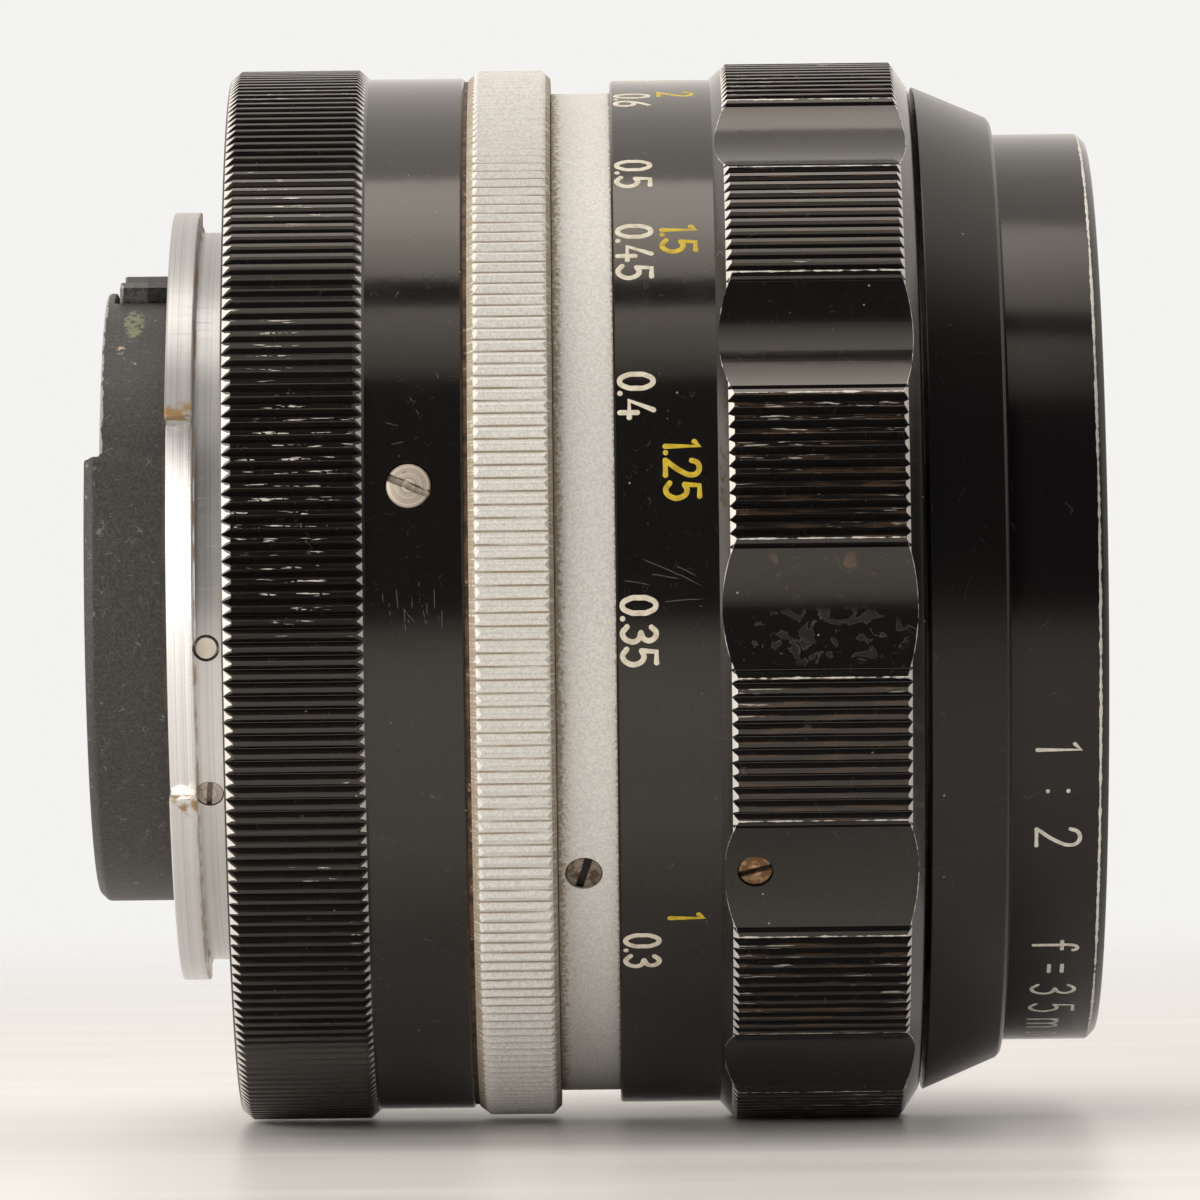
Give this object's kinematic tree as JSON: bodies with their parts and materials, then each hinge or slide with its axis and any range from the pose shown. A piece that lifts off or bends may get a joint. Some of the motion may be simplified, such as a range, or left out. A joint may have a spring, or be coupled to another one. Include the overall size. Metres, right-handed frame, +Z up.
{
  "type": "prime camera lens",
  "caption": "Vintage manual-focus prime lens with a bayonet mount, knurled aperture ring, silver grip ring, scalloped focus ring, iris and glass.",
  "frame": {"origin": "on the optical axis, in the plane of the bayonet flange that seats on a camera", "axes": "+X along the optical axis towards the front glass, +Z up as the lens lies on its side"},
  "size_m": [0.0589, 0.0679, 0.0628],
  "materials": {
    "black_enamel": "semi-gloss black enamel over aluminium, worn bright on edges",
    "black_satin": "satin black paint, speckled with wear",
    "black_anodised": "black anodised aluminium with fine turning lines",
    "satin_silver": "satin bead-blasted silver",
    "chrome": "satin chromed brass with turning lines",
    "brass": "bare turned brass",
    "screw_steel": "bright steel, slightly tarnished",
    "spring_steel": "dark spring steel",
    "bare_aluminium": "bare turned aluminium",
    "glass": "coated optical glass"
  },
  "bodies": {
    "fixed": {"rear_guard": "black_satin", "bayonet_mount": "chrome", "mount_screw_1": "screw_steel", "mount_screw_2": "screw_steel", "mount_screw_3": "screw_steel", "mount_screw_4": "screw_steel", "mount_screw_5": "screw_steel", "mount_locating_pin": "screw_steel", "guard_screw": "screw_steel", "main_barrel": "bare_aluminium", "aperture_bearing_ring": "brass", "grip_ring": "satin_silver", "depth_scale_ring": "satin_silver", "depth_ring_screw_1": "screw_steel", "depth_ring_screw_2": "screw_steel", "depth_ring_screw_3": "screw_steel", "click_ball": "spring_steel", "click_spring": "spring_steel"},
    "aperture": {"aperture_ring": "black_enamel", "aperture_ring_screw": "screw_steel", "meter_prong": "black_enamel", "prong_screw_1": "screw_steel", "prong_screw_2": "screw_steel"},
    "lever": {"stop_down_lever": "black_satin"},
    "carriage": {"inner_barrel": "bare_aluminium", "front_barrel": "black_anodised", "guide_key": "brass", "guide_key_screw": "screw_steel", "helicoid_retainer": "brass", "front_trim_ring": "black_anodised", "front_cell": "black_satin", "doublet_retaining_ring": "black_satin", "front_spacer_ring": "black_satin", "rear_cell": "black_satin", "rear_spacer_ring_1": "black_satin", "rear_spacer_ring_2": "black_satin", "rear_retaining_ring": "black_satin", "lens_element_1": "glass", "lens_element_2": "glass", "lens_element_3": "glass", "lens_element_4": "glass", "lens_element_5": "glass", "lens_element_6": "glass", "lens_element_7": "glass", "lens_element_8": "glass", "iris_base": "black_satin"},
    "focus": {"focus_ring": "black_enamel", "focus_helicoid": "brass", "focus_ring_screw_1": "screw_steel", "focus_ring_screw_2": "screw_steel", "focus_ring_screw_3": "screw_steel"},
    "iris_ring": {"iris_drive_ring": "brass"},
    "blade_1": {"iris_blade_1": "spring_steel"},
    "blade_2": {"iris_blade_2": "spring_steel"},
    "blade_3": {"iris_blade_3": "spring_steel"},
    "blade_4": {"iris_blade_4": "spring_steel"},
    "blade_5": {"iris_blade_5": "spring_steel"},
    "blade_6": {"iris_blade_6": "spring_steel"}
  },
  "joints": [
    {"name": "focus_slide", "type": "slide", "parent": "fixed", "child": "carriage", "axis": [1, 0, 0], "range_m": [0, 0.0057]},
    {"name": "focus_turn", "type": "hinge", "parent": "carriage", "child": "focus", "pos_m": [0.03, 0, 0], "axis": [-1, 0, 0], "range_deg": [0, 198]},
    {"name": "aperture_turn", "type": "hinge", "parent": "fixed", "child": "aperture", "pos_m": [0.007, 0, 0], "axis": [1, 0, 0], "range_deg": [-24, 24]},
    {"name": "lever_turn", "type": "hinge", "parent": "fixed", "child": "lever", "pos_m": [0.0016, 0, 0], "axis": [-1, 0, 0], "range_deg": [0, 16], "stiffness_Nm_per_rad": 0.03},
    {"name": "iris_ring_turn", "type": "hinge", "parent": "carriage", "child": "iris_ring", "pos_m": [0.023, 0, 0], "axis": [1, 0, 0], "range_deg": [-1.6, 1.6]},
    {"name": "blade_1_turn", "type": "hinge", "parent": "carriage", "child": "blade_1", "pos_m": [0.0186, -0.0172, 0], "axis": [1, 0, 0], "range_deg": [-14, 14]},
    {"name": "blade_2_turn", "type": "hinge", "parent": "carriage", "child": "blade_2", "pos_m": [0.0186, -0.0086, -0.0149], "axis": [1, 0, 0], "range_deg": [-14, 14]},
    {"name": "blade_3_turn", "type": "hinge", "parent": "carriage", "child": "blade_3", "pos_m": [0.0186, 0.0086, -0.0149], "axis": [1, 0, 0], "range_deg": [-14, 14]},
    {"name": "blade_4_turn", "type": "hinge", "parent": "carriage", "child": "blade_4", "pos_m": [0.0186, 0.0172, 0], "axis": [1, 0, 0], "range_deg": [-14, 14]},
    {"name": "blade_5_turn", "type": "hinge", "parent": "carriage", "child": "blade_5", "pos_m": [0.0186, 0.0086, 0.0149], "axis": [1, 0, 0], "range_deg": [-14, 14]},
    {"name": "blade_6_turn", "type": "hinge", "parent": "carriage", "child": "blade_6", "pos_m": [0.0186, -0.0086, 0.0149], "axis": [1, 0, 0], "range_deg": [-14, 14]}
  ],
  "couplings": [
    {"joint": "focus_slide", "follows": "focus_turn", "m_per_rad": 0.0016494},
    {"joint": "iris_ring_turn", "follows": "aperture_turn", "ratio": 0.0575},
    {"joint": "blade_1_turn", "follows": "aperture_turn", "ratio": 0.56667},
    {"joint": "blade_2_turn", "follows": "aperture_turn", "ratio": 0.56667},
    {"joint": "blade_3_turn", "follows": "aperture_turn", "ratio": 0.56667},
    {"joint": "blade_4_turn", "follows": "aperture_turn", "ratio": 0.56667},
    {"joint": "blade_5_turn", "follows": "aperture_turn", "ratio": 0.56667},
    {"joint": "blade_6_turn", "follows": "aperture_turn", "ratio": 0.56667}
  ]
}
